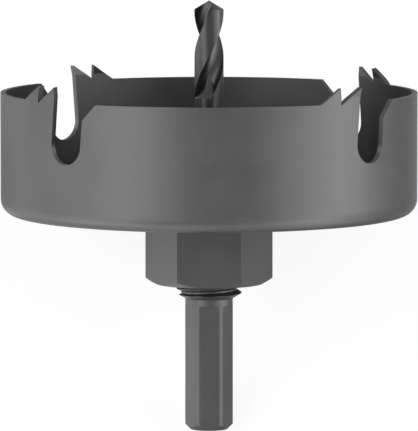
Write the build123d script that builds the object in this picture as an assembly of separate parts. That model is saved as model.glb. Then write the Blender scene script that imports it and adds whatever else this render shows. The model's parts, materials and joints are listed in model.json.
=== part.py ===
from build123d import *
from math import asin, atan, atan2, cos, degrees, hypot, radians, sin, tan
import os

# Hole saw: a toothed cup locked on a hexagon arbor, with a pilot drill.
# Every piece is drawn with the saw's axis on Z, the drill pointing up and the
# underside of the cup at z = 0. The last step lays the whole tool down as it rests.

# Saw cup, a flat base with a thin wall
CUP_DIAMETER = 102.0
CUP_HEIGHT = 30.0
WALL_THICKNESS = 1.3
BASE_THICKNESS = 4.8
OUTER_CORNER_RADIUS = 4.0
INNER_CORNER_CHAMFER = 1.0

# Teeth, groups of two round the rim, at the polar angle of each group's leading tip.
# The groups stand a little unevenly, as the saw's own do. The leading tooth of each is
# bent outwards and the trailing one inwards.
GROUP_ANGLES = (-136.2, -44.7, 41.6, 132.6)
TOOTH_HEIGHT = 3.8
TOOTH_PITCH = 6.2
TOOTH_BACK_ANGLE = 32.5
TOOTH_RAKE = 3.0
TOOTH_SET = 0.4
BEND_HEIGHT = 1.5

# Gullet ahead of each group, a round-bottomed slot that leans with the leading tooth
GULLET_WIDTH = 9.4
GULLET_DEPTH = 14.7
GULLET_LEAN = 5.0
GULLET_CHAMFER = 3.8

# Arbor, a hexagon shank that ends in a threaded spindle
SPINDLE_DIAMETER = 16.0
SPINDLE_RISE = 3.2
SPINDLE_REVEAL = 3.7
SPINDLE_CHAMFER = 1.2
SPINDLE_FOOT_ANGLE = 30.0
SHANK_DIAMETER = 11.7
SHANK_FLATS = 10.6
SHANK_LENGTH = 32.3
SHANK_COLLAR = 1.6
SHANK_END_CHAMFER = 1.3

# Hexagon nut that locks the cup on the spindle
NUT_FLATS = 27.0
NUT_HEIGHT = 17.0
NUT_FACE_DIAMETER = 26.5
NUT_CHAMFER_ANGLE = 30.0
NUT_BORE_CHAMFER = 0.6

# Pilot drill with two flutes
DRILL_DIAMETER = 7.15
DRILL_POINT_ANGLE = 118.0
DRILL_REACH = 18.6
DRILL_SEAT_DEPTH = 14.0
DRILL_FLAT_DEPTH = 0.6
DRILL_FLAT_LENGTH = 12.0
WEB_THICKNESS = 1.4
FLUTE_RADIUS = 2.9
FLUTE_LENGTH = 24.9
FLUTE_LEAD = 43.2
FLUTE_RUNOUT = 9.0
FLUTE_RUNOUT_OVERLAP = 0.15
FLUTE_TIP_ANGLE = 70.0

# Grub screw that holds the drill, with a hexagon socket
GRUB_DIAMETER = 6.0
GRUB_INSET = 0.5
GRUB_SOCKET_FLATS = 3.0
GRUB_SOCKET_DEPTH = 3.0

# Clearances on the radius
THREAD_CLEARANCE = 0.1
DRILL_CLEARANCE = 0.05

# Places that follow from the sizes above
CUP_RADIUS = CUP_DIAMETER / 2
INNER_RADIUS = CUP_RADIUS - WALL_THICKNESS
MIDDLE_RADIUS = CUP_RADIUS - WALL_THICKNESS / 2
TIP_Z = CUP_HEIGHT + TOOTH_HEIGHT
BEND_Z = CUP_HEIGHT + BEND_HEIGHT
SPINDLE_RADIUS = SPINDLE_DIAMETER / 2
SPINDLE_TOP_Z = BASE_THICKNESS + SPINDLE_RISE
SPINDLE_FOOT_Z = -NUT_HEIGHT - SPINDLE_REVEAL
SHANK_RADIUS = SHANK_DIAMETER / 2
SHANK_END_Z = SPINDLE_FOOT_Z - SHANK_LENGTH
DRILL_RADIUS = DRILL_DIAMETER / 2
DRILL_TIP_Z = TIP_Z + DRILL_REACH
DRILL_SEAT_Z = -DRILL_SEAT_DEPTH
GRUB_RADIUS = GRUB_DIAMETER / 2
GRUB_Z = -NUT_HEIGHT / 2
THREADED_HOLE_RADIUS = SPINDLE_RADIUS + THREAD_CLEARANCE

# Cutting tools reach this far past what they cut
PAST = 1.0


def turned(points):
    """A solid of revolution about Z from its (radius, z) corners."""
    section = make_face(Polyline(*[(r, 0, z) for r, z in points], close=True))
    return revolve(section, axis=Axis.Z)


def bar(radius, low, high):
    """A round bar on the axis between two heights."""
    return Pos(0, 0, low) * extrude(Circle(radius), amount=high - low)


def hexagon_bar(flats, low, high):
    """A hexagon bar on the axis, with flats towards +Y and -Y."""
    outline = RegularPolygon(flats / 2, 6, major_radius=False)
    return Pos(0, 0, low) * extrude(outline, amount=high - low)


def pushed_out(face, angle):
    """A face drawn as (along the rim, z), pushed out from the axis at a polar angle."""
    punch_plane = Plane(origin=(0, 0, 0), x_dir=(0, 1, 0), z_dir=(1, 0, 0))
    return Rot(Z=angle) * extrude(punch_plane * face, amount=CUP_RADIUS + TOOTH_SET + PAST)


def across_wall(face, angle, tip_set):
    """A face drawn as (along the rim, height over the tips), pushed square through a bent tooth."""
    bend = atan(tip_set / (TIP_Z - BEND_Z))
    middle = (MIDDLE_RADIUS + tip_set, 0, TIP_Z)
    tooth_plane = Plane(origin=middle, x_dir=(0, 1, 0), z_dir=(cos(bend), 0, -sin(bend)))
    reach = WALL_THICKNESS + TOOTH_SET + PAST
    return Rot(Z=angle) * extrude(tooth_plane * face, amount=reach, both=True)


def rim_angle(distance):
    """The angle that a distance along the rim takes up."""
    return degrees(distance / CUP_RADIUS)


def cup_shell():
    """The base, its rounded outer corner and the plain wall up to the rim."""
    corners = [(0, 0), (CUP_RADIUS, 0), (CUP_RADIUS, CUP_HEIGHT), (INNER_RADIUS, CUP_HEIGHT),
               (INNER_RADIUS, BASE_THICKNESS), (0, BASE_THICKNESS)]
    section = make_face(Polyline(*corners, close=True))
    outer_corner = section.vertices().sort_by_distance((CUP_RADIUS, 0, 0))[0]
    section = fillet(outer_corner, OUTER_CORNER_RADIUS)
    inner_corner = section.vertices().sort_by_distance((INNER_RADIUS, BASE_THICKNESS, 0))[0]
    section = chamfer(inner_corner, INNER_CORNER_CHAMFER)
    return revolve(Plane.XZ * section, axis=Axis.Z)


def bent_ring(tip_set):
    """A ring on the rim that leans out or in above the bend, to cut teeth from."""
    sunk_z = CUP_HEIGHT - PAST
    top_z = TIP_Z + PAST
    lean = tip_set * (top_z - BEND_Z) / (TIP_Z - BEND_Z)
    return turned([(INNER_RADIUS, sunk_z), (CUP_RADIUS, sunk_z), (CUP_RADIUS, BEND_Z),
                   (CUP_RADIUS + lean, top_z), (INNER_RADIUS + lean, top_z), (INNER_RADIUS, BEND_Z)])


def tooth(tip_set, tip_angle, front, rake):
    """One tooth: a sloping back, and a raked front that stands so far ahead of the tip."""
    slope = tan(radians(TOOTH_BACK_ANGLE))
    run = TOOTH_HEIGHT / slope
    middle = -run / 2
    sunk = -TOOTH_HEIGHT - PAST
    front_foot = front + sunk * tan(radians(rake))
    corners = [(-run, sunk), (-run, -TOOTH_HEIGHT), (front, front * slope), (front_foot, sunk)]
    outline = make_face(Polyline(*[(s - middle, z) for s, z in corners], close=True))
    return bent_ring(tip_set) & across_wall(outline, tip_angle + rim_angle(middle), tip_set)


def notch(tip_angle):
    """The valley ahead of a trailing tooth, where the leading tooth's back runs on below the rim."""
    slope = tan(radians(TOOTH_BACK_ANGLE))
    middle = -TOOTH_HEIGHT / slope / 2
    valley = -TOOTH_PITCH / (1 - slope * tan(radians(TOOTH_RAKE)))
    far = valley - PAST / 2
    top = PAST - TOOTH_HEIGHT
    corners = [(far, far * slope), (top / slope, top), (far, top)]
    outline = make_face(Polyline(*[(s - middle, z) for s, z in corners], close=True))
    return across_wall(outline, tip_angle + rim_angle(middle), TOOTH_SET)


def gullet(tip_angle):
    """The slot ahead of a leading tooth, with its far corner cut off at 45 degrees."""
    lean = radians(GULLET_LEAN)
    half = GULLET_WIDTH / 2
    centre_z = CUP_HEIGHT - GULLET_DEPTH + half
    near_z = centre_z + half * sin(lean)
    centre_s = half * cos(lean) - (TIP_Z - near_z) * tan(lean)
    top_z = TIP_Z + 2 * PAST
    near_top = (top_z - TIP_Z) * tan(lean)
    chamfer_z = CUP_HEIGHT - GULLET_CHAMFER
    chamfer_s = GULLET_WIDTH / cos(lean) - (TIP_Z - chamfer_z) * tan(lean)
    chamfer_past = GULLET_CHAMFER + top_z - CUP_HEIGHT
    near = (centre_s - half * cos(lean), near_z)
    bottom = (centre_s - half * sin(lean), centre_z - half * cos(lean))
    far = (centre_s + half * cos(lean), centre_z - half * sin(lean))
    far_top = (chamfer_s + chamfer_past, top_z)
    sides = Polyline(far, (chamfer_s, chamfer_z), far_top, (near_top, top_z), near)
    outline = make_face(ThreePointArc(near, bottom, far) + sides)
    return pushed_out(Pos(-centre_s, 0) * outline, tip_angle + rim_angle(centre_s))


def saw_cup():
    """The cup with its set teeth, gullets and threaded centre hole."""
    cup = cup_shell()
    for angle in GROUP_ANGLES:
        cup -= notch(angle)
    for angle in GROUP_ANGLES:
        cup += tooth(TOOTH_SET, angle, PAST, 0)
        cup += tooth(-TOOTH_SET, angle - rim_angle(TOOTH_PITCH), 0, TOOTH_RAKE)
        cup -= gullet(angle)
    return cup - bar(THREADED_HOLE_RADIUS, -PAST, BASE_THICKNESS + PAST)


def grub_hole():
    """The cross hole for the grub screw, from the axis out past the nut."""
    return Pos(0, 0, GRUB_Z) * Rot(X=-90) * bar(GRUB_RADIUS + THREAD_CLEARANCE, 0, NUT_FLATS)


def arbor():
    """The shank and spindle, turned from one bar and bored for the drill."""
    shank_tip_radius = SHANK_RADIUS - SHANK_END_CHAMFER
    spindle_tip_radius = SPINDLE_RADIUS - SPINDLE_CHAMFER
    foot_rise = (SPINDLE_RADIUS - SHANK_RADIUS) * tan(radians(SPINDLE_FOOT_ANGLE))
    body = turned([(0, SHANK_END_Z), (shank_tip_radius, SHANK_END_Z),
                   (SHANK_RADIUS, SHANK_END_Z + SHANK_END_CHAMFER), (SHANK_RADIUS, SPINDLE_FOOT_Z),
                   (SPINDLE_RADIUS, SPINDLE_FOOT_Z + foot_rise),
                   (SPINDLE_RADIUS, SPINDLE_TOP_Z - SPINDLE_CHAMFER), (spindle_tip_radius, SPINDLE_TOP_Z),
                   (0, SPINDLE_TOP_Z)])
    flats_low = SHANK_END_Z - PAST
    flats_top = SPINDLE_FOOT_Z - SHANK_COLLAR
    body -= bar(SHANK_RADIUS + PAST, flats_low, flats_top) - hexagon_bar(SHANK_FLATS, flats_low, flats_top)
    body -= bar(DRILL_RADIUS + DRILL_CLEARANCE, DRILL_SEAT_Z, SPINDLE_TOP_Z + PAST)
    return body - grub_hole()


def hex_nut():
    """The lock nut, turned to a chamfer at both ends."""
    face_radius = NUT_FACE_DIAMETER / 2
    wide = NUT_FLATS
    drop = (wide - face_radius) * tan(radians(NUT_CHAMFER_ANGLE))
    nut = hexagon_bar(NUT_FLATS, -NUT_HEIGHT, 0)
    nut &= turned([(0, 0), (face_radius, 0), (wide, -drop), (wide, drop - NUT_HEIGHT),
                   (face_radius, -NUT_HEIGHT), (0, -NUT_HEIGHT)])
    mouth = THREADED_HOLE_RADIUS + NUT_BORE_CHAMFER
    nut -= turned([(0, 0), (mouth, 0), (THREADED_HOLE_RADIUS, -NUT_BORE_CHAMFER),
                   (THREADED_HOLE_RADIUS, NUT_BORE_CHAMFER - NUT_HEIGHT), (mouth, -NUT_HEIGHT),
                   (0, -NUT_HEIGHT)])
    return nut - grub_hole()


def flute(start_angle, low, height, turn):
    """A twisted round rod that cuts one flute."""
    offset = WEB_THICKNESS / 2 + FLUTE_RADIUS
    section = Pos(offset, 0) * Circle(FLUTE_RADIUS)
    rod = Solid.extrude_linear_with_rotation(section.face(), (0, 0, 0), (0, 0, height), turn)
    return Pos(0, 0, low) * Rot(Z=start_angle) * rod


def flute_end():
    """What the flutes leave standing where they run out, starting a little inside the web."""
    low = DRILL_TIP_Z - FLUTE_LENGTH
    high = low + FLUTE_RUNOUT
    inside = WEB_THICKNESS / 2 - FLUTE_RUNOUT_OVERLAP
    curve = TangentArc((inside, 0, high), (DRILL_RADIUS + PAST, 0, low), tangent=(0, 0, -1))
    sides = Polyline((DRILL_RADIUS + PAST, 0, low), (0, 0, low), (0, 0, high), (inside, 0, high))
    return revolve(make_face(curve + sides), axis=Axis.Z)


def pilot_drill():
    """The two-flute drill, with a flat on its shank for the grub screw."""
    point_height = DRILL_RADIUS / tan(radians(DRILL_POINT_ANGLE / 2))
    body = turned([(0, DRILL_SEAT_Z), (DRILL_RADIUS, DRILL_SEAT_Z),
                   (DRILL_RADIUS, DRILL_TIP_Z - point_height), (0, DRILL_TIP_Z)])
    low = DRILL_TIP_Z - FLUTE_LENGTH
    height = FLUTE_LENGTH + PAST
    turn = 360 * height / FLUTE_LEAD
    between = 90 + 180 * FLUTE_RUNOUT / FLUTE_LEAD
    for side in (0, 180):
        body -= flute(side, low, height, turn) - Rot(Z=between) * flute_end()
    body = Rot(Z=FLUTE_TIP_ANGLE - 360 * FLUTE_LENGTH / FLUTE_LEAD) * body
    flat = Box(DRILL_DIAMETER, DRILL_FLAT_DEPTH + PAST, DRILL_FLAT_LENGTH + PAST,
               align=(Align.CENTER, Align.MIN, Align.MAX))
    flat_y = DRILL_RADIUS - DRILL_FLAT_DEPTH
    return body - Pos(0, flat_y, DRILL_SEAT_Z + DRILL_FLAT_LENGTH) * flat


def grub_screw():
    """The screw that runs through nut and spindle onto the drill's flat."""
    inner = DRILL_RADIUS - DRILL_FLAT_DEPTH
    outer = NUT_FLATS / 2 - GRUB_INSET
    socket = hexagon_bar(GRUB_SOCKET_FLATS, outer - GRUB_SOCKET_DEPTH, outer + PAST)
    return Pos(0, 0, GRUB_Z) * Rot(X=-90) * (bar(GRUB_RADIUS, inner, outer) - socket)


def lean_angle():
    """How far the axis leans back when the shank's end and the cup's edge both touch the floor."""
    contact_r = SHANK_FLATS / 2
    contact_z = SHANK_END_Z + SHANK_END_CHAMFER - (SHANK_RADIUS - contact_r)
    across = CUP_RADIUS - OUTER_CORNER_RADIUS - contact_r
    along = OUTER_CORNER_RADIUS - contact_z
    floor_angle = degrees(atan2(across, along) + asin(OUTER_CORNER_RADIUS / hypot(across, along)))
    return 90 - floor_angle


def at_rest(pieces):
    """Lay the pieces down together, with the floor at z = 0 under the middle of their box."""
    laid = {name: Rot(X=-lean_angle()) * piece for name, piece in pieces.items()}
    box = Compound(list(laid.values())).bounding_box()
    shift = Pos(-box.center().X, -box.center().Y, -box.min.Z)
    return {name: shift * piece for name, piece in laid.items()}


def main():
    pieces = {
        "saw_cup": saw_cup(),
        "arbor": arbor(),
        "hex_nut": hex_nut(),
        "pilot_drill": pilot_drill(),
        "grub_screw": grub_screw(),
    }
    os.makedirs("parts", exist_ok=True)
    for name, piece in at_rest(pieces).items():
        export_step(piece, f"parts/{name}.step")


main()
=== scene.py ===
"""The hole saw's look: finishes for its solids, the arbor's real screw thread, and the stage.

Lengths are in metres. The arbor, the finishes, the side lamps and the camera are laid out in the
saw's own frame, which has its axis on Z, the drill pointing up and the underside of the cup at
z = 0. The matrix to_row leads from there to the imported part's frame.
"""
import json
import math

import bmesh
import bpy
from bpy.props import FloatProperty, FloatVectorProperty, IntProperty, PointerProperty
from mathutils import Matrix, Vector


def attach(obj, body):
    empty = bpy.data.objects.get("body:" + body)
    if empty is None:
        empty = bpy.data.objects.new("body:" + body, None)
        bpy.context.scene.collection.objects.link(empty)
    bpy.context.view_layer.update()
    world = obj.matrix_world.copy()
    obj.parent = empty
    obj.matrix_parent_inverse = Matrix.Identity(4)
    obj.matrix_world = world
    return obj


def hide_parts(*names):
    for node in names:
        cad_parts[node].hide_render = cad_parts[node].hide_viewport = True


bl_info = {
    "name": "Hole Saw",
    "version": (1, 0, 0),
    "blender": (4, 5, 0),
    "location": "3D View > Sidebar > Hole Saw",
    "description": "Dresses a toothed hole saw with its arbor, lock nut and pilot drill",
    "category": "Object",
}

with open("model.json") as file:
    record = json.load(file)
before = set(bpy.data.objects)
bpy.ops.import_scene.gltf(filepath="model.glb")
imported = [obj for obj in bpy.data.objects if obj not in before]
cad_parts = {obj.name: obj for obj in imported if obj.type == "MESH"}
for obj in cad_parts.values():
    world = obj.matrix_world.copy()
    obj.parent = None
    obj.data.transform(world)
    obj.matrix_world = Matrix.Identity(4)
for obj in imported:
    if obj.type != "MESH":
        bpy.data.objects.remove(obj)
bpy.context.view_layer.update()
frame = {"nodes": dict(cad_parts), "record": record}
MM = 0.001


# Where the saw's own frame lies

def mount(name):
    """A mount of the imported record, by name."""
    for entry in frame["record"]["mounts"]:
        if entry["name"] == name:
            return entry
    raise RuntimeError(f"the packed record has no mount named {name}")


def saw_frame(sizes):
    """The matrix from the saw's own frame to the row frame, found from the shank's end."""
    shank_end = mount("shank_end")
    up = -Vector(shank_end["axis"]).normalized()
    side = Vector((1, 0, 0))
    back = up.cross(side)
    origin = Vector(shank_end["pos_m"]) + up * sizes.shank_end_depth
    turn = Matrix((side, back, up)).transposed().to_4x4()
    return Matrix.Translation(origin) @ turn


# The values a user would change

class HoleSawSizes(bpy.types.PropertyGroup):
    """Sizes of the arbor, in the saw's own frame."""

    shank_end_depth: FloatProperty(
        name="Shank End Depth",
        description="How far the shank's end lies below the cup's underside",
        default=53.0 * MM, min=20 * MM, unit="LENGTH", precision=4)
    shank_diameter: FloatProperty(
        name="Shank Diameter",
        description="Diameter that the shank's corners are turned to",
        default=11.7 * MM, min=4 * MM, unit="LENGTH", precision=4)
    shank_flats: FloatProperty(
        name="Shank Flats",
        description="Width of the shank across its flats",
        default=10.6 * MM, min=4 * MM, unit="LENGTH", precision=4)
    shank_chamfer: FloatProperty(
        name="Shank Chamfer",
        description="Chamfer on the shank's end",
        default=1.3 * MM, min=0, unit="LENGTH", precision=4)
    collar_height: FloatProperty(
        name="Collar Height",
        description="Height of the round collar between the flats and the thread",
        default=1.6 * MM, min=0, unit="LENGTH", precision=4)
    spindle_foot: FloatProperty(
        name="Spindle Foot",
        description="How far the thread's lower end lies below the cup's underside",
        default=20.7 * MM, min=5 * MM, unit="LENGTH", precision=4)
    spindle_foot_angle: FloatProperty(
        name="Spindle Foot Angle",
        description="Slope of the cone between the shank and the thread",
        default=math.radians(30), min=0.1, max=1.5, subtype="ANGLE")
    spindle_top: FloatProperty(
        name="Spindle Top",
        description="How far the thread's upper end lies above the cup's underside",
        default=8.0 * MM, min=1 * MM, unit="LENGTH", precision=4)
    spindle_chamfer: FloatProperty(
        name="Spindle Chamfer",
        description="Chamfer on the upper end of the thread",
        default=1.2 * MM, min=0, unit="LENGTH", precision=4)
    thread_diameter: FloatProperty(
        name="Thread Diameter",
        description="Outer diameter of the screw thread",
        default=16.0 * MM, min=4 * MM, unit="LENGTH", precision=4)
    thread_pitch: FloatProperty(
        name="Thread Pitch",
        description="Distance from one thread crest to the next",
        default=2.0 * MM, min=0.5 * MM, unit="LENGTH", precision=4)
    thread_start: FloatProperty(
        name="Thread Start",
        description="Height of a thread crest on the saw's right side",
        default=-19.28 * MM, unit="LENGTH", precision=5)
    bore_diameter: FloatProperty(
        name="Bore Diameter",
        description="Diameter of the bore that holds the drill",
        default=7.25 * MM, min=1 * MM, unit="LENGTH", precision=4)
    bore_depth: FloatProperty(
        name="Bore Depth",
        description="How far the bore reaches below the cup's underside",
        default=14.0 * MM, min=1 * MM, unit="LENGTH", precision=4)
    bore_chamfer: FloatProperty(
        name="Bore Chamfer",
        description="Chamfer on the mouth of the bore",
        default=0.3 * MM, min=0, unit="LENGTH", precision=4)
    cross_hole_diameter: FloatProperty(
        name="Cross Hole Diameter",
        description="Diameter of the hole for the grub screw",
        default=6.2 * MM, min=1 * MM, unit="LENGTH", precision=4)
    cross_hole_depth: FloatProperty(
        name="Cross Hole Depth",
        description="How far the grub screw lies below the cup's underside",
        default=8.5 * MM, min=1 * MM, unit="LENGTH", precision=4)
    steps_round: IntProperty(
        name="Steps Round",
        description="Number of mesh steps round the arbor",
        default=180, min=24)


class HoleSawFinish(bpy.types.PropertyGroup):
    """Colours and gloss of the finishes."""

    cup_colour: FloatVectorProperty(
        name="Cup Colour",
        description="Satin coating of the cup",
        default=(0.079, 0.079, 0.080), size=3, min=0, max=1, subtype="COLOR")
    arbor_colour: FloatVectorProperty(
        name="Arbor Colour",
        description="Satin coating of the arbor and the nut",
        default=(0.071, 0.071, 0.072), size=3, min=0, max=1, subtype="COLOR")
    drill_colour: FloatVectorProperty(
        name="Drill Colour",
        description="Dark oxide on the pilot drill",
        default=(0.055, 0.055, 0.056), size=3, min=0, max=1, subtype="COLOR")
    screw_colour: FloatVectorProperty(
        name="Screw Colour",
        description="Black oxide on the grub screw",
        default=(0.040, 0.040, 0.042), size=3, min=0, max=1, subtype="COLOR")
    coating_roughness: FloatProperty(
        name="Coating Roughness",
        description="Roughness of the satin coating on the cup, the arbor and the nut",
        default=0.45, min=0, max=1, subtype="FACTOR")
    drill_roughness: FloatProperty(
        name="Drill Roughness",
        description="Roughness of the oxide on the pilot drill",
        default=0.32, min=0, max=1, subtype="FACTOR")
    screw_roughness: FloatProperty(
        name="Screw Roughness",
        description="Roughness of the oxide on the grub screw",
        default=0.35, min=0, max=1, subtype="FACTOR")


class HoleSawStage(bpy.types.PropertyGroup):
    """The camera and the light from all round."""

    elevation: FloatProperty(
        name="Elevation",
        description="Camera angle above the plane of the cup's rim",
        default=math.radians(5.517), subtype="ANGLE")
    distance: FloatProperty(
        name="Distance",
        description="Distance from the camera to the saw's axis",
        default=1447.0 * MM, min=0.2, unit="LENGTH", precision=4)
    target_height: FloatProperty(
        name="Target Height",
        description="Height on the saw's axis that the camera looks at",
        default=-0.376 * MM, unit="LENGTH", precision=5)
    lens: FloatProperty(
        name="Lens",
        description="Focal length on a 36 mm sensor",
        default=493.27, min=20, unit="CAMERA")
    ambient: FloatProperty(
        name="Ambient Light",
        description="Strength of the light from all round",
        default=0.20, min=0)


def settings(context):
    """The sizes, the finish and the stage of the open scene."""
    scene = context.scene
    return scene.hole_saw_sizes, scene.hole_saw_finish, scene.hole_saw_stage


# Meshes

# How the arbor's mesh is drawn: rings on the shank's chamfer and on each pitch of the thread, sides
# of the cross hole, the distance at which vertices are joined once it is drawn and once it is cut,
# and the angle from which an edge stays sharp
CHAMFER_RINGS = 8
RINGS_PER_PITCH = 18
CUTTER_SIDES = 64
DRAWN_JOIN = 1e-7
CUT_JOIN = 1e-6
SHARP_EDGE = math.radians(32)

# Profile of the thread: its depth and half its crest's flat, both in pitches, and half the angle
# between two flanks
THREAD_DEPTH = 0.6134
HALF_CREST = 1 / 24
HALF_FLANK_ANGLE = math.radians(30)


def add_mesh(name, mesh):
    """An object for a mesh whose vertices are already in place."""
    piece = bpy.data.objects.new(name, mesh)
    bpy.context.scene.collection.objects.link(piece)
    return piece


def mesh_from(shape, name):
    """A mesh from a drawn shape, which isn't used after this."""
    mesh = bpy.data.meshes.new(name)
    shape.to_mesh(mesh)
    shape.free()
    return mesh


def join_close(shape, distance):
    """Join vertices that all but meet, and drop the faces that this leaves without an area."""
    bmesh.ops.remove_doubles(shape, verts=shape.verts, dist=distance)
    bmesh.ops.dissolve_degenerate(shape, dist=distance, edges=shape.edges)


def thread_radius(sizes, angle, height):
    """Radius of the screw thread's surface at an angle and a height."""
    pitch = sizes.thread_pitch
    crest = sizes.thread_start + pitch * angle / (2 * math.pi)
    from_crest = abs((height - crest + pitch / 2) % pitch - pitch / 2)
    drop = (from_crest - HALF_CREST * pitch) / math.tan(HALF_FLANK_ANGLE)
    return sizes.thread_diameter / 2 - min(max(drop, 0), THREAD_DEPTH * pitch)


def arbor_rings(sizes):
    """The arbor's outline from the shank's end to the bore's floor.

    Each ring is (height, function), and the function gives the radius at an angle.
    """
    end_z = -sizes.shank_end_depth
    foot_z = -sizes.spindle_foot
    collar_z = foot_z - sizes.collar_height
    top_z = sizes.spindle_top
    shank_r = sizes.shank_diameter / 2
    half_flats = sizes.shank_flats / 2
    thread_r = sizes.thread_diameter / 2
    bore_r = sizes.bore_diameter / 2
    end_chamfer = sizes.shank_chamfer
    bore_chamfer = sizes.bore_chamfer

    def round_to(radius):
        return lambda angle: radius

    def hexagon(radius):
        side = math.pi / 3

        def at(angle):
            from_flat = (angle + math.pi / 2 + side / 2) % side - side / 2
            return min(radius, half_flats / math.cos(from_flat))
        return at

    def threaded(height):
        foot_limit = shank_r + (height - foot_z) / math.tan(sizes.spindle_foot_angle)
        top_limit = thread_r - sizes.spindle_chamfer + top_z - height
        return lambda angle: min(foot_limit, top_limit, thread_radius(sizes, angle, height))

    rings = [(end_z, round_to(shank_r - end_chamfer))]
    for step in range(1, CHAMFER_RINGS + 1):
        along = end_chamfer * step / CHAMFER_RINGS
        rings.append((end_z + along, hexagon(shank_r - end_chamfer + along)))
    rings.append((collar_z, hexagon(shank_r)))
    rings.append((collar_z, round_to(shank_r)))
    rings.append((foot_z, round_to(shank_r)))
    steps = round((top_z - foot_z) / (sizes.thread_pitch / RINGS_PER_PITCH))
    for step in range(steps + 1):
        height = foot_z + (top_z - foot_z) * step / steps
        rings.append((height, threaded(height)))
    rings.append((top_z, round_to(bore_r + bore_chamfer)))
    rings.append((top_z - bore_chamfer, round_to(bore_r)))
    rings.append((-sizes.bore_depth, round_to(bore_r)))
    return rings


def arbor_mesh(sizes, to_row):
    """The arbor as rings of vertices joined by quads, closed at both ends."""
    shape = bmesh.new()
    count = sizes.steps_round
    rings = []
    for height, radius_at in arbor_rings(sizes):
        ring = []
        for step in range(count):
            angle = 2 * math.pi * step / count
            radius = radius_at(angle)
            place = (radius * math.cos(angle), radius * math.sin(angle), height)
            ring.append(shape.verts.new(place))
        rings.append(ring)
    for low, high in zip(rings, rings[1:]):
        for i in range(count):
            j = (i + 1) % count
            shape.faces.new((low[i], low[j], high[j], high[i]))
    shape.faces.new(list(reversed(rings[0])))
    shape.faces.new(rings[-1])
    join_close(shape, DRAWN_JOIN)
    bmesh.ops.transform(shape, matrix=to_row, verts=shape.verts)
    bmesh.ops.recalc_face_normals(shape, faces=shape.faces)
    return mesh_from(shape, "arbor_threaded")


def cross_hole_mesh(sizes, to_row):
    """A round cutter for the grub screw's hole, from inside the bore out past the thread."""
    inner = 0.2 * sizes.bore_diameter
    outer = 0.6 * sizes.thread_diameter
    radius = sizes.cross_hole_diameter / 2
    shape = bmesh.new()
    bmesh.ops.create_cone(shape, cap_ends=True, segments=CUTTER_SIDES,
                          radius1=radius, radius2=radius, depth=outer - inner)
    middle = Matrix.Translation((0, (inner + outer) / 2, -sizes.cross_hole_depth))
    lying = Matrix.Rotation(-math.pi / 2, 4, "X")
    bmesh.ops.transform(shape, matrix=to_row @ (middle @ lying), verts=shape.verts)
    return mesh_from(shape, "cross_hole")


def clean_mesh(mesh):
    """Take out the slivers that a cut leaves in a mesh."""
    shape = bmesh.new()
    shape.from_mesh(mesh)
    join_close(shape, CUT_JOIN)
    shape.to_mesh(mesh)
    shape.free()


def cut_hole(piece, cutter_mesh):
    """Cut a mesh out of a piece, and shade the result smooth with sharp edges kept."""
    cutter = add_mesh("cutter", cutter_mesh)
    cut = piece.modifiers.new("hole", "BOOLEAN")
    cut.operation = "DIFFERENCE"
    cut.solver = "EXACT"
    cut.object = cutter
    scene_now = bpy.context.evaluated_depsgraph_get()
    mesh = bpy.data.meshes.new_from_object(piece.evaluated_get(scene_now))
    piece.modifiers.clear()
    bpy.data.objects.remove(cutter)
    clean_mesh(mesh)
    mesh.shade_smooth()
    mesh.set_sharp_from_angle(angle=SHARP_EDGE)
    piece.data = mesh


# Materials

class Weave:
    """Adds nodes to the empty node tree of a material or a world, and links them."""

    def __init__(self, owner):
        owner.use_nodes = True
        self.tree = owner.node_tree
        self.tree.nodes.clear()

    def add(self, kind, *in_order, choices=None, **by_name):
        """A new node, with values or links for its first inputs in order and for others by name."""
        made = self.tree.nodes.new(kind)
        for key, value in (choices or {}).items():
            setattr(made, key, value)
        for socket, value in zip(made.inputs, in_order):
            self.feed(socket, value)
        for key, value in by_name.items():
            self.feed(made.inputs[key.replace("_", " ")], value)
        return made

    def feed(self, socket, value):
        """Link a socket to another one, or set its value."""
        if isinstance(value, bpy.types.NodeSocket):
            self.tree.links.new(value, socket)
        else:
            socket.default_value = value

    def combine(self, operation, first, second):
        """Two values put together by a Math node."""
        node = self.add("ShaderNodeMath", first, second, choices={"operation": operation})
        return node.outputs[0]

    def stretch(self, value, source, target):
        """A value moved from one range to another, and held at its ends."""
        node = self.add("ShaderNodeMapRange", value, From_Min=source[0], From_Max=source[1],
                        To_Min=target[0], To_Max=target[1])
        return node.outputs[0]

    def sees_background(self):
        """1 for the camera's own rays and those off or through a piece, which see a white room."""
        rays = self.add("ShaderNodeLightPath").outputs
        seen = self.combine("MAXIMUM", rays["Is Camera Ray"], rays["Is Glossy Ray"])
        return self.combine("MAXIMUM", seen, rays["Is Transmission Ray"])


# Noise behind the finishes, and the part of its range that is used
CLOUD_NOISE = {"Scale": 90.0, "Detail": 4.0, "Roughness": 0.6}
GRAIN_NOISE = {"Scale": 2600.0, "Detail": 3.0, "Roughness": 0.65}
MARKS_NOISE = {"Scale": 1500.0, "Detail": 2.0, "Roughness": 0.5}
NOISE_RANGE = (0.3, 0.7)

# What the noise does: factors on the colour, a swing of the roughness up and down, and relief
CLOUD_TINT = (0.92, 1.08)
GRAIN_TINT = (0.95, 1.05)
GLOSS_SWING = 0.04
RELIEF_STRENGTH = 0.25
RELIEF_HEIGHT = 0.02 * MM

# Painted shade: the cup's wall is drawn a little darker inside, where shade falls in the hollow;
# the radii between which its factor changes, and the factor at each
INNER_SHADE_RADII = (49.9 * MM, 50.3 * MM)
INNER_SHADE_FACTORS = (0.80, 1.0)

# Coated and oxidised steel reflects less at a glancing angle than bare steel
GLANCING_TINT = (0.55, 0.55, 0.55, 1.0)


def new_material(name):
    """A material, and the helper that fills its node tree."""
    material = bpy.data.materials.new(name)
    return material, Weave(material)


def saw_space(weave, to_row):
    """Coordinates in the saw's own frame, in metres."""
    place = weave.add("ShaderNodeTexCoord")
    back = weave.add("ShaderNodeMapping", place.outputs["Object"],
                     choices={"vector_type": "TEXTURE"},
                     Location=to_row.to_translation(), Rotation=to_row.to_euler())
    return back.outputs["Vector"]


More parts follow.
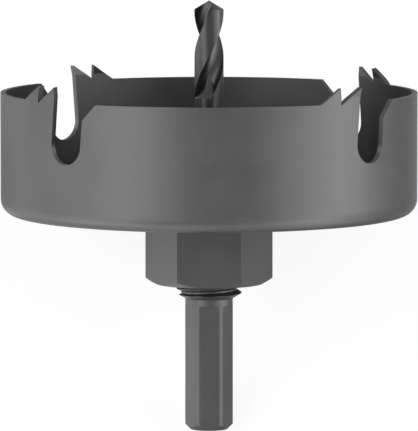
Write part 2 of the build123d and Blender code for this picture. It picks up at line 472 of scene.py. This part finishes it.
def ring_space(weave, position):
    """Coordinates (distance from the axis, 0, height), for marks that run round the axis."""
    parts = weave.add("ShaderNodeSeparateXYZ", position).outputs
    flat = weave.add("ShaderNodeCombineXYZ", X=parts["X"], Y=parts["Y"])
    away = weave.add("ShaderNodeVectorMath", flat.outputs[0], choices={"operation": "LENGTH"})
    ring = weave.add("ShaderNodeCombineXYZ", X=away.outputs["Value"], Z=parts["Z"])
    return ring.outputs[0]


def noise(weave, position, look):
    """A value that varies from place to place."""
    return weave.add("ShaderNodeTexNoise", Vector=position, **look).outputs[0]


def painted_inner_shade(weave, around):
    """A factor of painted shade that darkens the coating a little inside the cup's wall."""
    parts = weave.add("ShaderNodeSeparateXYZ", around).outputs
    return weave.stretch(parts["X"], INNER_SHADE_RADII, INNER_SHADE_FACTORS)


def satin_coating(name, colour, roughness, to_row, ring_marks, metal, shade_inside=False):
    """Dark satin coating on steel: fine grain, soft cloudiness, faint turning marks, and for the
    cup painted shade inside its wall.

    ring_marks is the share of turning marks in the relief, metal how metallic the finish is, and
    the last flag adds painted shade inside the cup's wall.
    """
    material, weave = new_material(name)
    position = saw_space(weave, to_row)
    around = ring_space(weave, position)
    cloud = noise(weave, position, CLOUD_NOISE)
    grain = noise(weave, position, GRAIN_NOISE)
    marks = noise(weave, around, MARKS_NOISE)
    tint = weave.combine("MULTIPLY", weave.stretch(cloud, NOISE_RANGE, CLOUD_TINT),
                         weave.stretch(grain, NOISE_RANGE, GRAIN_TINT))
    # Painted shade: the inside of the cup's wall is darkened in the colour, where shade falls.
    if shade_inside:
        tint = weave.combine("MULTIPLY", tint, painted_inner_shade(weave, around))
    shade = weave.add("ShaderNodeVectorMath", colour, choices={"operation": "SCALE"}, Scale=tint)
    gloss = weave.stretch(cloud, NOISE_RANGE, (roughness - GLOSS_SWING, roughness + GLOSS_SWING))
    relief = weave.add("ShaderNodeMix", ring_marks, choices={"data_type": "FLOAT"})
    weave.feed(relief.inputs[2], grain)
    weave.feed(relief.inputs[3], marks)
    bump = weave.add("ShaderNodeBump", Strength=RELIEF_STRENGTH, Distance=RELIEF_HEIGHT,
                     Height=relief.outputs[0])
    shader = weave.add("ShaderNodeBsdfPrincipled", Base_Color=shade.outputs[0], Roughness=gloss,
                       Normal=bump.outputs[0], Metallic=metal, Specular_Tint=GLANCING_TINT)
    weave.add("ShaderNodeOutputMaterial", Surface=shader.outputs[0])
    return material


def dress(node_name, material):
    """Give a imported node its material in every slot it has."""
    node = frame["nodes"][node_name]
    if not node.material_slots:
        raise RuntimeError(f"node {node_name} has no material slot")
    for slot in node.material_slots:
        slot.link = "OBJECT"
        slot.material = material


# The operators for the pieces

class HOLESAW_OT_cup(bpy.types.Operator):
    """Finish the toothed cup"""

    bl_idname = "holesaw.cup"
    bl_label = "Cup"

    def execute(self, context):
        sizes, finish, _ = settings(context)
        # The cup's coating carries painted shade on the inside of its wall.
        coating = satin_coating(
            "cup_coating_look", finish.cup_colour, finish.coating_roughness, saw_frame(sizes),
            ring_marks=0.15, metal=1.0, shade_inside=True)
        dress("saw_cup", coating)
        return {"FINISHED"}


class HOLESAW_OT_arbor(bpy.types.Operator):
    """Make the arbor with its screw thread, in place of the plain solid"""

    bl_idname = "holesaw.arbor"
    bl_label = "Arbor"

    def execute(self, context):
        sizes, finish, _ = settings(context)
        to_row = saw_frame(sizes)
        piece = add_mesh("arbor_threaded", arbor_mesh(sizes, to_row))
        cut_hole(piece, cross_hole_mesh(sizes, to_row))
        coating = satin_coating(
            "arbor_coating_look", finish.arbor_colour, finish.coating_roughness, to_row,
            ring_marks=0.4, metal=0.8)
        piece.data.materials.append(coating)
        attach(piece, "root")
        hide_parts("arbor")
        return {"FINISHED"}


class HOLESAW_OT_nut(bpy.types.Operator):
    """Finish the hexagon lock nut"""

    bl_idname = "holesaw.nut"
    bl_label = "Lock Nut"

    def execute(self, context):
        sizes, finish, _ = settings(context)
        coating = satin_coating(
            "nut_coating_look", finish.arbor_colour, finish.coating_roughness, saw_frame(sizes),
            ring_marks=0.3, metal=0.8)
        dress("hex_nut", coating)
        return {"FINISHED"}


class HOLESAW_OT_drill(bpy.types.Operator):
    """Finish the pilot drill"""

    bl_idname = "holesaw.drill"
    bl_label = "Pilot Drill"

    def execute(self, context):
        sizes, finish, _ = settings(context)
        oxide = satin_coating(
            "drill_oxide_look", finish.drill_colour, finish.drill_roughness, saw_frame(sizes),
            ring_marks=0.6, metal=0.8)
        dress("pilot_drill", oxide)
        return {"FINISHED"}


class HOLESAW_OT_screw(bpy.types.Operator):
    """Finish the grub screw"""

    bl_idname = "holesaw.screw"
    bl_label = "Grub Screw"

    def execute(self, context):
        sizes, finish, _ = settings(context)
        oxide = satin_coating(
            "screw_oxide_look", finish.screw_colour, finish.screw_roughness, saw_frame(sizes),
            ring_marks=0.3, metal=0.8)
        dress("grub_screw", oxide)
        return {"FINISHED"}


# The stage

WHITE = (1.0, 1.0, 1.0, 1.0)

# The floor: half its width, its matt grey, the glow that it shows where it is seen, and the share
# of that glow in its look
FLOOR_REACH = 4.0
FLOOR_GREY = (0.86, 0.86, 0.86, 1.0)
FLOOR_GLOW = 1.17
FLOOR_GLOW_SHARE = 0.72

# Lamps round the saw, as (name, bearing in degrees from the camera's side, width, brightness). All
# stand at one distance from its axis and have one height.
SIDE_LAMP_DISTANCE = 0.9
SIDE_LAMP_HEIGHT = 1.2
SIDE_LAMPS = (
    ("left_panel", -45.0, 0.746, 2.33),
    ("left_edge_panel", -90.0, 0.237, 4.2),
    ("right_panel", 52.5, 0.482, 1.65),
    ("right_edge_panel", 82.5, 0.482, 3.93),
)

# Lamps that lie just above the floor and shine upwards, as (name, (x, y), (width, length),
# brightness)
FLOOR_LAMP_LIFT = 1 * MM
FLOOR_LAMPS = (
    ("left_floor_panel", (-0.185, 0.0), (0.17, 0.50), 1.85),
    ("left_near_floor_panel", (-0.08, -0.12), (0.04, 0.26), 1.85),
    ("left_front_floor_panel", (-0.36, -0.35), (0.40, 0.40), 1.6),
    ("right_floor_panel", (0.235, 0.0), (0.35, 0.50), 0.39),
    ("right_front_floor_panel", (0.36, -0.35), (0.40, 0.40), 5.0),
    ("shank_floor_panel", (-0.034, -0.065), (0.052, 0.12), 1.4),
    ("corner_floor_panel", (0.08, -0.09), (0.09, 0.07), 2.1),
    ("front_floor_panel", (-0.05, -0.17), (0.16, 0.18), 1.3),
)


def softbox(name, place, size, brightness):
    """A soft lamp that shines along its own -Z, unseen by the camera."""
    data = bpy.data.lights.new(name, "AREA")
    data.shape = "RECTANGLE"
    data.size, data.size_y = size
    data.energy = brightness * math.pi * size[0] * size[1]
    lamp = bpy.data.objects.new(name, data)
    bpy.context.scene.collection.objects.link(lamp)
    lamp.matrix_world = place
    lamp.visible_camera = False


def beside_saw(to_row, bearing):
    """A place that faces the saw's axis from a bearing round it, 0 towards the camera."""
    aim = Vector((math.sin(bearing), -math.cos(bearing), 0))
    side = Vector((0, 0, 1)).cross(aim).normalized()
    axes = Matrix((side, aim.cross(side), aim)).transposed().to_4x4()
    return to_row @ Matrix.Translation(aim * SIDE_LAMP_DISTANCE) @ axes


def lay_floor():
    """A matt floor that keeps the saw's shadow and is almost white where it is seen."""
    shape = bmesh.new()
    bmesh.ops.create_grid(shape, x_segments=1, y_segments=1, size=FLOOR_REACH)
    floor = add_mesh("floor", mesh_from(shape, "floor"))
    material, weave = new_material("pale_floor")
    share = weave.combine("MULTIPLY", weave.sees_background(), FLOOR_GLOW_SHARE)
    matt = weave.add("ShaderNodeBsdfDiffuse", Color=FLOOR_GREY)
    glow = weave.add("ShaderNodeEmission", Color=WHITE, Strength=FLOOR_GLOW)
    mix = weave.add("ShaderNodeMixShader", share, matt.outputs[0], glow.outputs[0])
    weave.add("ShaderNodeOutputMaterial", Surface=mix.outputs[0])
    floor.data.materials.append(material)


def light_room(scene, ambient):
    """A world that looks white and lights the saw with the ambient strength alone."""
    world = bpy.data.worlds.new("studio")
    weave = Weave(world)
    room = weave.add("ShaderNodeBackground", Color=WHITE, Strength=ambient)
    backdrop = weave.add("ShaderNodeBackground", Color=WHITE, Strength=1.0)
    seen = weave.sees_background()
    mix = weave.add("ShaderNodeMixShader", seen, room.outputs[0], backdrop.outputs[0])
    weave.add("ShaderNodeOutputWorld", Surface=mix.outputs[0])
    scene.world = world


def aim_camera(scene, stage, to_row):
    """The camera at the photograph's viewing angle, placed in the saw's own frame."""
    data = bpy.data.cameras.new("camera")
    data.sensor_width = 36.0
    data.lens = stage.lens
    data.clip_start, data.clip_end = 0.05, 20.0
    camera = bpy.data.objects.new("camera", data)
    scene.collection.objects.link(camera)
    tilt = stage.elevation
    back = Vector((0, -math.cos(tilt), math.sin(tilt)))
    up = Vector((0, math.sin(tilt), math.cos(tilt)))
    axes = Matrix((Vector((1, 0, 0)), up, back)).transposed().to_4x4()
    target = Vector((0, 0, stage.target_height))
    place = Matrix.Translation(target + back * stage.distance)
    camera.matrix_world = to_row @ place @ axes
    scene.camera = camera


class HOLESAW_OT_stage(bpy.types.Operator):
    """Set up the pale floor, the soft light and the camera"""

    bl_idname = "holesaw.stage"
    bl_label = "Stage"

    def execute(self, context):
        sizes, _, stage = settings(context)
        to_row = saw_frame(sizes)
        lay_floor()
        light_room(context.scene, stage.ambient)
        for name, bearing, width, brightness in SIDE_LAMPS:
            place = beside_saw(to_row, math.radians(bearing))
            softbox(name, place, (width, SIDE_LAMP_HEIGHT), brightness)
        facing_up = Matrix.Rotation(math.pi, 4, "X")
        for name, (x, y), size, brightness in FLOOR_LAMPS:
            place = Matrix.Translation((x, y, FLOOR_LAMP_LIFT)) @ facing_up
            softbox(name, place, size, brightness)
        aim_camera(context.scene, stage, to_row)
        context.scene.view_settings.view_transform = "Standard"
        return {"FINISHED"}


# The add-on

OPERATORS = (
    HOLESAW_OT_cup,
    HOLESAW_OT_arbor,
    HOLESAW_OT_nut,
    HOLESAW_OT_drill,
    HOLESAW_OT_screw,
    HOLESAW_OT_stage,
)
GROUPS = (HoleSawSizes, HoleSawFinish, HoleSawStage)


class HOLESAW_PT_panel(bpy.types.Panel):
    """Buttons and values of the hole saw"""

    bl_idname = "HOLESAW_PT_panel"
    bl_label = "Hole Saw"
    bl_space_type = "VIEW_3D"
    bl_region_type = "UI"
    bl_category = "Hole Saw"

    def draw(self, context):
        layout = self.layout
        for operator in OPERATORS:
            layout.operator(operator.bl_idname)
        for group in settings(context):
            box = layout.box()
            for name in group.__annotations__:
                box.prop(group, name)


CLASSES = GROUPS + OPERATORS + (HOLESAW_PT_panel,)


def register():
    """Make the groups, operators and panel known to Blender."""
    for item in CLASSES:
        bpy.utils.register_class(item)
    bpy.types.Scene.hole_saw_sizes = PointerProperty(type=HoleSawSizes)
    bpy.types.Scene.hole_saw_finish = PointerProperty(type=HoleSawFinish)
    bpy.types.Scene.hole_saw_stage = PointerProperty(type=HoleSawStage)


def unregister():
    """Undo what register does."""
    del bpy.types.Scene.hole_saw_stage
    del bpy.types.Scene.hole_saw_finish
    del bpy.types.Scene.hole_saw_sizes
    for item in reversed(CLASSES):
        bpy.utils.unregister_class(item)


def main():
    """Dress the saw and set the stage."""
    register()
    bpy.ops.holesaw.cup()
    bpy.ops.holesaw.arbor()
    bpy.ops.holesaw.nut()
    bpy.ops.holesaw.drill()
    bpy.ops.holesaw.screw()
    bpy.ops.holesaw.stage()


if __name__ == "__main__":
    main()
